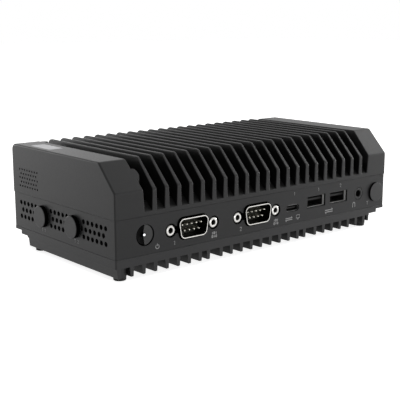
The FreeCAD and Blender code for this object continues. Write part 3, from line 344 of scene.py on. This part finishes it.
def plated(name, colour, roughness, along=along_x):
    """Metal with fine lines along one axis and faint stains."""
    material, tree, shader, place = start(name, colour, roughness, metallic=1.0)
    lines = grain(tree, stretched(tree, place, along), 1 / line_width / squeeze, 3)
    stains = grain(tree, place, stain_scale)
    tree.links.new(blended(tree, ranged(tree, stains, 0, 1), shaded(colour, 0.85), colour),
                   shader.inputs["Base Color"])
    tree.links.new(ranged(tree, lines, roughness - 0.06, roughness + 0.1), shader.inputs["Roughness"])
    raised(tree, shader, lines, line_depth, 0.4)
    return material


shell_nickel = plated("shell_nickel", (0.5, 0.5, 0.49), 0.42)
dark_nickel = plated("dark_nickel", (0.12, 0.12, 0.12), 0.4)
screw_nickel = plated("screw_nickel", (0.72, 0.71, 0.68), 0.22, along_y)


def painted_shade_behind(name, colour, roughness, node, bright_depth, dark_depth, dark):
    """Plated metal that is bright at the front of a node and painted dark, as shade, from a depth behind it.
    """
    material = plated(name, colour, roughness)
    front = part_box(node)[0][1]
    tree = material.node_tree
    place = tree.nodes["Texture Coordinate"].outputs["Object"]
    change = along_axis(tree, place, "y", front + bright_depth, front + dark_depth)
    blackened(material, change, dark)
    return material


# Painted shade: from a fraction of a millimetre behind their fronts, these parts are painted nearly black.
serial_nickel = painted_shade_behind("serial_nickel", (0.66, 0.65, 0.62), 0.24, "serial_shell_1",
                              0.05 * mm, 0.3 * mm, (0.020, 0.020, 0.014))
jack_nickel = painted_shade_behind("jack_nickel", (0.62, 0.61, 0.59), 0.24, "jack_screws",
                            0.1 * mm, 0.3 * mm, (0.030, 0.030, 0.026))
contact_gold = plated("contact_gold", (0.86, 0.72, 0.42), 0.25, along_y)
pin_metal = plated("pin_metal", (0.80, 0.78, 0.70), 0.3, along_y)
brass = plated("turned_brass", (0.74, 0.58, 0.28), 0.3, along_z)
black_steel = plated("black_oxide_steel", (0.06, 0.06, 0.06), 0.4, along_z)
plate_metal = plated("badge_metal", (0.30, 0.30, 0.31), 0.42, along_y)
listed("metals", shell_nickel, dark_nickel, screw_nickel, serial_nickel, jack_nickel,
       contact_gold, pin_metal, brass, black_steel, plate_metal)

# %% [markdown]
# Of a wide socket's shell only two inner walls are painted pale as lit, the one on the right and
# the bottom one, and only their first millimetre. The others and the rim are painted dark as
# shade, so a wall's painted brightness follows the way it faces and how deep it lies. The tin is
# so dull that it hardly mirrors.

# %% Shells of the wide sockets
lit_depth, fading_depth = 1.0 * mm, 0.3 * mm
facing_limit = 0.8
dull_metallic = 0.1
wide_shell_tin = plated("wide_shell_tin", (0.9, 0.9, 0.88), 0.5)
tree = wide_shell_tin.node_tree
tree.nodes["Principled BSDF"].inputs["Metallic"].default_value = dull_metallic
coords = tree.nodes["Texture Coordinate"]
facing_x, _, facing_z = split(tree, coords.outputs["Normal"])
not_left = compared(tree, facing_x, "GREATER_THAN", -facing_limit)
not_up = compared(tree, facing_z, "LESS_THAN", facing_limit)
dark_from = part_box("usb_a_shell_1")[0][1] + lit_depth
deep = along_axis(tree, coords.outputs["Object"], "y", dark_from, dark_from + fading_depth)
painted_unlit = joined(tree, joined(tree, not_left, not_up, "MULTIPLY"), deep, "MAXIMUM")
# Painted shade: every other wall, the rim and all that lies deeper are painted nearly black.
blackened(wide_shell_tin, painted_unlit, (0.004, 0.004, 0.004))
listed("shells", wide_shell_tin)

# %% [markdown]
# The board is seen only in glimpses, through the vents and the sockets. Its green mask lies
# over copper tracks, and the joints of a brick pattern stand for the tracks. The light pipe in
# the power key is pale plastic that glows.

# %% Circuit board and light pipe
def circuit_board(name, mask, track):
    """Board whose tracks show through the mask as the joints of small bricks."""
    brick_scale, joint_share, track_height = 420, 0.06, 0.03 * mm
    material, tree, shader, place = start(name, mask, 0.35)
    bricks = tree.nodes.new("ShaderNodeTexBrick")
    bricks.inputs["Scale"].default_value = brick_scale
    bricks.inputs["Mortar Size"].default_value = joint_share
    tree.links.new(place, bricks.inputs["Vector"])
    tree.links.new(blended(tree, bricks.outputs["Fac"], mask, track), shader.inputs["Base Color"])
    raised(tree, shader, bricks.outputs["Fac"], track_height, 0.4)
    return material


def light_pipe(name, glow):
    """Pale plastic that gives light of its own; glow is its strength."""
    core_scale = 1500
    material, tree, shader, place = start(name, (0.9, 0.92, 0.95), 0.2)
    core = grain(tree, place, core_scale, 1)
    tree.links.new(blended(tree, core, (0.85, 0.88, 0.92), (1, 1, 1)), shader.inputs["Base Color"])
    shader.inputs["Emission Color"].default_value = (0.95, 0.98, 1, 1)
    shader.inputs["Emission Strength"].default_value = glow
    return material


board_green = circuit_board("circuit_board", (0.012, 0.07, 0.035), (0.03, 0.13, 0.06))
white_light = light_pipe("white_light_pipe", 1.2)
listed("board and light", board_green, white_light)

# %% [markdown]
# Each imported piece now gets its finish. The table goes from a finish to the names that take
# it, because many sockets share one. A name ending in a star stands for every node that
# starts that way.

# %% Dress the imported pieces
finishes = {
    powder: ["heatsink_cover"],
    powder_frame: ["middle_frame"],
    powder_low: ["bottom_cover"],
    foot_rubber: ["rubber_feet"],
    button_plastic: ["power_button"],
    white_light: ["power_light_lens"],
    side_plug_plastic: ["blanking_plugs_left", "blanking_plugs_right"],
    front_plug_plastic: ["blanking_plug_front"],
    plate_metal: ["badge_plate"],
    serial_nickel: ["serial_shell*"],
    dark_nickel: ["usb_c_shell"],
    jack_nickel: ["jack_screws"],
    wide_shell_tin: ["usb_a_shell*"],
    shell_nickel: ["network_shell*", "display_shell*", "coin_cell"],
    screw_nickel: ["board_screws", "lug_screws", "card_screws", "dc_pin", "processor"],
    black_steel: ["case_screws"],
    pin_metal: ["serial_pins*"],
    contact_gold: ["usb_a_contacts*", "network_contacts*"],
    insulator_plastic: ["serial_insulator*"],
    wide_tongue_painted_highlight: ["usb_a_tongue*"],
    oval_tongue_painted_highlight: ["usb_c_tongue"],
    socket_plastic: ["audio_jack", "dc_inlet", "network_insert*", "display_tongue*", "power_switch",
                     "switch_plunger", "memory_socket", "ssd_socket", "radio_socket", "coin_cell_holder"],
    chip_plastic: ["power_coils", "speaker"],
    board_green: ["main_board", "memory_module", "ssd_card", "radio_card"],
    brass: ["card_standoffs"],
    pad_rubber: ["thermal_pad"],
}


def nodes_called(pattern):
    """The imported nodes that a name, or a name with a star at its end, stands for."""
    if pattern.endswith("*"):
        return [name for name in frame["nodes"] if name.startswith(pattern[:-1])]
    return [pattern]


dressed = set()
for material, patterns in finishes.items():
    for pattern in patterns:
        for name in nodes_called(pattern):
            piece = bpy.data.objects[name]
            piece.data.materials.clear()
            piece.data.materials.append(material)
            dressed.add(name)
print("nodes without a finish:", sorted(set(frame["nodes"]) - dressed))

# %% [markdown]
# The marks beside the sockets are printed with grey ink. Text objects could make the numbers,
# but every mark here, number or symbol, is a few pen strokes, so one function serves them all:
# it lays a ribbon of constant width along each stroke.

# %% Ribbons along pen strokes
def ribbon(path, width):
    """Left and right edges of a stroke: path plus and minus half the width along its normal."""
    ahead = np.gradient(path, axis=0)
    ahead /= np.linalg.norm(ahead, axis=1)[:, None]
    normal = np.stack([-ahead[:, 1], ahead[:, 0]], axis=1)
    return np.stack([path + normal * width / 2, path - normal * width / 2], axis=1)


def grid_faces(rows, columns, first=0):
    """Quads between the neighbouring points of a grid of rows and columns."""
    corner = np.arange((rows - 1) * columns).reshape(rows - 1, columns)[:, :-1].ravel() + first
    return np.stack([corner, corner + 1, corner + columns + 1, corner + columns], axis=1)


def new_piece(name, points, faces, material, body="housing"):
    """A flat-shaded mesh at the origin, made from arrays of points and faces, riding on a body."""
    mesh = bpy.data.meshes.new(name)
    mesh.from_pydata(points.tolist(), [], faces.tolist())
    mesh.materials.append(material)
    mesh.polygons.foreach_set("use_smooth", [False] * len(mesh.polygons))
    mesh.update()
    piece = bpy.data.objects.new(name, mesh)
    bpy.context.scene.collection.objects.link(piece)
    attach(piece, body)
    return piece


def line(*corners, steps=2):
    """Straight strokes through the corners, each side cut into steps."""
    corners = np.array(corners, float)
    share = np.linspace(0, 1, steps)[:-1, None]
    sides = [a + (b - a) * share for a, b in zip(corners[:-1], corners[1:])]
    return np.concatenate(sides + [corners[-1:]])


def arc(x, z, radius, first, last, stretch=1.0, steps=24):
    """Points on a circle about (x, z), from one angle in degrees to another, stretched upwards."""
    angle = np.radians(np.linspace(first, last, steps))
    return np.stack([x + radius * np.cos(angle), z + radius * stretch * np.sin(angle)], axis=1)


# %% [markdown]
# Each symbol is drawn in a square of side 1 around its middle, so that its place and size on
# the panel are two plain numbers. The symbols are the generic ones for power, serial data,
# two-way data, a screen, headphones and an aerial.

# %% The symbols
symbols = {
    "power": [arc(0, -0.05, 0.4, 125, 415), line((0, 0.05), (0, 0.5))],
    "one": [line((-0.2, 0.25), (0.04, 0.5), (0.04, -0.5))],
    "two": [np.concatenate([arc(0, 0.22, 0.27, 165, -35), line((-0.27, -0.46), (0.3, -0.46))])],
    "serial": [line((x, z - 0.18), (x, z + 0.18)) for x, z in ((-0.38, 0.26), (0.38, 0.26), (0, -0.26))]
              + [arc(x, z, 0.11, 0, 360, 1.6) for x, z in ((0, 0.26), (-0.38, -0.26), (0.38, -0.26))],
    "data": [line((-0.8, 0.14), (0.8, 0.14)), line((0.56, 0.34), (0.8, 0.14)),
             line((-0.8, -0.14), (0.8, -0.14)), line((-0.56, -0.34), (-0.8, -0.14))],
    "screen": [line((-0.45, -0.2), (-0.45, 0.4), (0.45, 0.4), (0.45, -0.2), (-0.45, -0.2)),
               line((0, -0.2), (0, -0.42)), line((-0.24, -0.42), (0.24, -0.42))],
    "headphones": [arc(0, 0.0, 0.3, -10, 190, 1.5), line((-0.3, -0.1), (-0.3, -0.45)),
                   line((0.3, -0.1), (0.3, -0.45))],
    "aerial": [line((0, -0.5), (0, 0.5)), line((-0.32, 0.5), (0, 0.12)), line((0.32, 0.5), (0, 0.12))],
}
print("symbols:", ", ".join(symbols))

# %% [markdown]
# Screen ink is matt and a little uneven, and it lies on the powder without hiding its grain.
# Each mark is a sheet 0.02 mm off the panel, far too thin to see from the side.

# %% Print the marks
ink = moulded("grey_ink", (0.27, 0.27, 0.27), 0.6, 0.4 * mm, 0.02 * mm)
ink_lift = 0.02 * mm
front_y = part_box("middle_frame")[0][1] - ink_lift
left_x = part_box("middle_frame")[0][0] - ink_lift


def printed(name, symbol, across, up, size, side="front", stroke=0.13):
    """One symbol on the front or left wall; across, up and size are in millimetres."""
    points, faces, count = [], [], 0
    for path in symbols[symbol]:
        edges = ribbon(path * size, stroke * size)
        points.append(edges.reshape(-1, 2))
        faces.append(grid_faces(len(path), 2, count))
        count += 2 * len(path)
    flat = np.concatenate(points) * mm
    level = np.zeros(len(flat))
    if side == "front":
        place = np.stack([flat[:, 0] + across * mm, level + front_y, flat[:, 1] + up * mm], axis=1)
    else:
        place = np.stack([level + left_x, across * mm - flat[:, 0], flat[:, 1] + up * mm], axis=1)
    piece = new_piece(name, place, np.concatenate(faces), ink)


low_row = 12.9
high_row = 25.2
side_row = low_row - 0.1
aerial_gap = 2.4
front_marks = (("power", -67.0, low_row, 2.4), ("one", -57.4, low_row, 1.9), ("serial", -34.0, low_row, 3.0),
               ("two", -17.4, low_row, 1.9), ("serial", 6.0, low_row, 3.0), ("one", 18.8, high_row, 1.7),
               ("data", 15.1, low_row, 3.0), ("screen", 21.5, low_row + 0.2, 2.6),
               ("one", 36.4, high_row, 1.7), ("two", 53.1, high_row, 1.7), ("data", 44.6, low_row, 3.6),
               ("headphones", 64.3, low_row + 0.5, 3.0), ("aerial", 75.4, low_row, 2.0))
for number, (symbol, across, up, size) in enumerate(front_marks, 1):
    printed("print_%s_%d" % (symbol, number), symbol, across, up, size)
side_marks = (("one", 14.6), ("two", -14.0))
for number, (symbol, across) in enumerate(side_marks, 1):
    printed("print_side_aerial_%d" % number, "aerial", across + aerial_gap, side_row, 1.9, "left")
    printed("print_side_number_%d" % number, symbol, across, side_row, 1.7, "left")
print("printed marks:", len(front_marks) + 2 * len(side_marks))

# %% [markdown]
# The jack screws and the bracket holes are tapped. A thread is a ridge with a triangular
# section that climbs as it goes round: its radius and height are functions of the angle, so a
# grid of angle by section point is the whole surface. The ridge fades to nothing at both ends,
# which also closes it.

# %% Threads
def thread(name, centre, axis, radius, ridge, pitch, length, material, slot):
    """Helical ridge that stands inwards from a hole's wall.

    The angle t runs from 0 to 2 pi n, the height is pitch t / 2 pi, and the section is a triangle.
    """
    steps_per_turn = 28
    fading_angle = 2.0
    foot_share = 0.8
    turns = length / pitch - 1
    steps = int(turns * steps_per_turn)
    angle = np.linspace(0, 2 * np.pi * turns, steps)
    fade = np.clip(np.minimum(angle, angle[::-1]) / fading_angle, 0, 1)[:, None]
    section_in = np.array([0, 1, 0]) * ridge
    section_up = np.array([-0.5, 0, 0.5]) * pitch * foot_share
    r = radius - section_in * fade
    h = pitch * angle[:, None] / (2 * np.pi) + pitch / 2 + section_up * fade
    local = np.stack([r * np.cos(angle)[:, None], r * np.sin(angle)[:, None], h], axis=2).reshape(-1, 3)
    turn = np.array(Vector((0, 0, 1)).rotation_difference(Vector(axis)).to_matrix())
    points = local @ turn.T + np.array(centre)
    back = np.arange(steps - 1) * 3
    closing = np.stack([back + 2, back, back + 3, back + 5], axis=1)
    faces = np.concatenate([grid_faces(steps, 3), closing])[:, ::-1]
    piece = new_piece(name, points, faces, material)


jack_low, jack_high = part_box("jack_screws")
jack_z = (jack_low[2] + jack_high[2]) / 2
jack_half_spacing = 12.5 * mm
jack_start = 0.45 * mm
jack_tapping = {"radius": 1.095 * mm, "ridge": 0.16 * mm, "pitch": 0.64 * mm, "length": 3.4 * mm}
for number in (1, 2):
    low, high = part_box("serial_shell_%d" % number)
    middle = (low[0] + high[0]) / 2
    for side, word in ((-1, "left"), (1, "right")):
        spot = (middle + side * jack_half_spacing, jack_low[1] + jack_start, jack_z)
        thread("jack_thread_%d_%s" % (number, word), spot, (0, 1, 0),
               material=jack_nickel, slot="nickel", **jack_tapping)

brackets = next(m for m in frame["record"]["mounts"] if m["name"] == "bracket_holes")
bracket_start = 0.1 * mm
bracket_tapping = {"radius": 1.245 * mm, "ridge": 0.15 * mm, "pitch": 0.5 * mm, "length": 4.0 * mm}
for i, across in enumerate((-0.5, 0.5)):
    for j, along in enumerate((-0.5, 0.5)):
        spot = (brackets["pos_m"][0] + across * brackets["dims"]["spacing_x_mm"] * mm,
                brackets["pos_m"][1] + along * brackets["dims"]["spacing_y_mm"] * mm,
                brackets["pos_m"][2] + bracket_start)
        thread("bracket_thread_%d" % (2 * i + j + 1), spot, (0, 0, 1),
               material=powder_low, slot="powder_black", **bracket_tapping)

# %% [markdown]
# The photograph's camera stands on the left and only a little higher than the object, so the
# left side and the front both show and the top is a thin sliver. Its place, direction and lens
# follow from the lines of the object: the lens is given as its focal length on a sensor 36 mm
# wide.

# %% The camera
camera_place = Vector((-293.281, -341.212, 111.230)) * mm
yaw, pitch, roll = np.radians((40.103, 11.745, -0.043))
focal_length = 79.257
sensor_width = 36
nearest = 0.01

ahead = Vector((np.sin(yaw) * np.cos(pitch), np.cos(yaw) * np.cos(pitch), -np.sin(pitch)))
level = Vector((np.cos(yaw), -np.sin(yaw), 0))
over = level.cross(ahead)
right = level * np.cos(roll) + over * np.sin(roll)
up = over * np.cos(roll) - level * np.sin(roll)
turned = Matrix((right, up, -ahead)).transposed()
camera_data = bpy.data.cameras.new("camera")
camera_data.lens = focal_length
camera_data.sensor_width = sensor_width
camera_data.clip_start = nearest
camera = bpy.data.objects.new("camera", camera_data)
camera.matrix_world = Matrix.Translation(camera_place) @ turned.to_4x4()
bpy.context.scene.collection.objects.link(camera)
bpy.context.scene.camera = camera
print("camera at", [round(value, 3) for value in camera_place], "with a lens of", focal_length, "mm")

# %% [markdown]
# The page behind the object is white, but white light from everywhere would wash a black object
# out. So the floor and the world are asked which kind of ray meets them: a ray from the camera,
# or one that has just left a mirror-like or clear surface, meets white, and every other ray
# meets a plain grey. The floor adds its shaded colour to most of that white, which leaves the
# object's faint shadow.

# %% White page
def seen_directly(tree):
    """1 for camera, glossy and transmission rays and 0 for the rest: the largest of the three."""
    rays = tree.nodes.new("ShaderNodeLightPath")
    largest = rays.outputs["Is Camera Ray"]
    for kind in ("Is Glossy Ray", "Is Transmission Ray"):
        pick = tree.nodes.new("ShaderNodeMath")
        pick.operation = "MAXIMUM"
        tree.links.new(largest, pick.inputs[0])
        tree.links.new(rays.outputs[kind], pick.inputs[1])
        largest = pick.outputs["Value"]
    return largest


def swapped(tree, factor, plain, seen, output):
    """Shows one shader where the factor is 0 and the other where it is 1."""
    mix = tree.nodes.new("ShaderNodeMixShader")
    tree.links.new(factor, mix.inputs["Fac"])
    tree.links.new(plain, mix.inputs[1])
    tree.links.new(seen, mix.inputs[2])
    tree.links.new(mix.outputs["Shader"], output)


fill_strength = 0.2
floor_glow = 0.85
floor_cloud_scale = 3
world = bpy.data.worlds.new("studio")
bpy.context.scene.world = world
world.use_nodes = True
tree = world.node_tree
fill_light = tree.nodes["Background"]
fill_light.inputs["Color"].default_value = (1, 1, 1, 1)
fill_light.inputs["Strength"].default_value = fill_strength
white_page = tree.nodes.new("ShaderNodeBackground")
white_page.inputs["Color"].default_value = (1, 1, 1, 1)
white_page.inputs["Strength"].default_value = 1.0
swapped(tree, seen_directly(tree), fill_light.outputs["Background"], white_page.outputs["Background"],
        tree.nodes["World Output"].inputs["Surface"])

floor_half = 3.0
edge = np.linspace(-floor_half, floor_half, 2)
corner_x, corner_y = np.meshgrid(edge, edge)
floor_points = np.stack([corner_x.ravel(), corner_y.ravel(), np.zeros(4)], axis=1)
floor_mesh = bpy.data.meshes.new("floor")
floor_mesh.from_pydata(floor_points.tolist(), [], grid_faces(2, 2).tolist())
floor = bpy.data.objects.new("floor", floor_mesh)
bpy.context.scene.collection.objects.link(floor)
floor_paint, tree, shader, place = start("floor_paint", (0.8, 0.8, 0.8), 0.9, specular=0.1)
floor_tone = blended(tree, grain(tree, place, floor_cloud_scale), (0.78, 0.78, 0.78), (0.8, 0.8, 0.8))
tree.links.new(floor_tone, shader.inputs["Base Color"])
glow = tree.nodes.new("ShaderNodeEmission")
glow.inputs["Strength"].default_value = floor_glow
both = tree.nodes.new("ShaderNodeAddShader")
tree.links.new(shader.outputs["BSDF"], both.inputs[0])
tree.links.new(glow.outputs["Emission"], both.inputs[1])
swapped(tree, seen_directly(tree), shader.outputs["BSDF"], both.outputs["Shader"],
        tree.nodes["Material Output"].inputs["Surface"])
floor_mesh.materials.append(floor_paint)
print("white page:", world.name, "and", floor.name)

# %% [markdown]
# A black casting shows its shape by the soft lamps that its faces mirror. One hangs over the
# top. Two stand behind it: a small one on the left, whose light grazes the left wall, and a
# wide, weak one. Two stand on the right, one low and one high, for the far end of the front and
# the top of the right end block. A wide one in front lifts the whole panel.

# %% Lamps
def soft_lamp(name, place, target, width, height, power):
    """A rectangular lamp at a place, facing a target; sizes in metres, power in watts."""
    data = bpy.data.lights.new(name, "AREA")
    data.shape = "RECTANGLE"
    data.size, data.size_y = width, height
    data.energy = power
    lamp = bpy.data.objects.new(name, data)
    lamp.location = place
    lamp.rotation_euler = (Vector(target) - Vector(place)).to_track_quat("-Z", "Y").to_euler()
    bpy.context.scene.collection.objects.link(lamp)


centre = (0, 0, 0.025)
lamps = (("lamp_above", (0.1, 0.2, 1.2), 1.4, 1.4, 5.9),
         ("lamp_left_behind", (-0.5, 1.3, 0.15), 0.4, 0.25, 4.3),
         ("lamp_behind", (0.1, 1.3, 0.35), 1.2, 0.4, 1.4),
         ("lamp_right", (1.3, -0.25, 0.12), 0.5, 0.3, 8.3),
         ("lamp_right_high", (1.0, -0.2, 0.75), 0.4, 0.3, 2.2),
         ("lamp_front", (0.1, -1.4, 0.12), 1.2, 0.25, 7.0))
for name, place, width, height, power in lamps:
    soft_lamp(name, place, centre, width, height, power)
print("lamps:", len(lamps))

# %% [markdown]
# The colours are shown through the Standard view transform.

bpy.context.scene.view_settings.view_transform = "Standard"
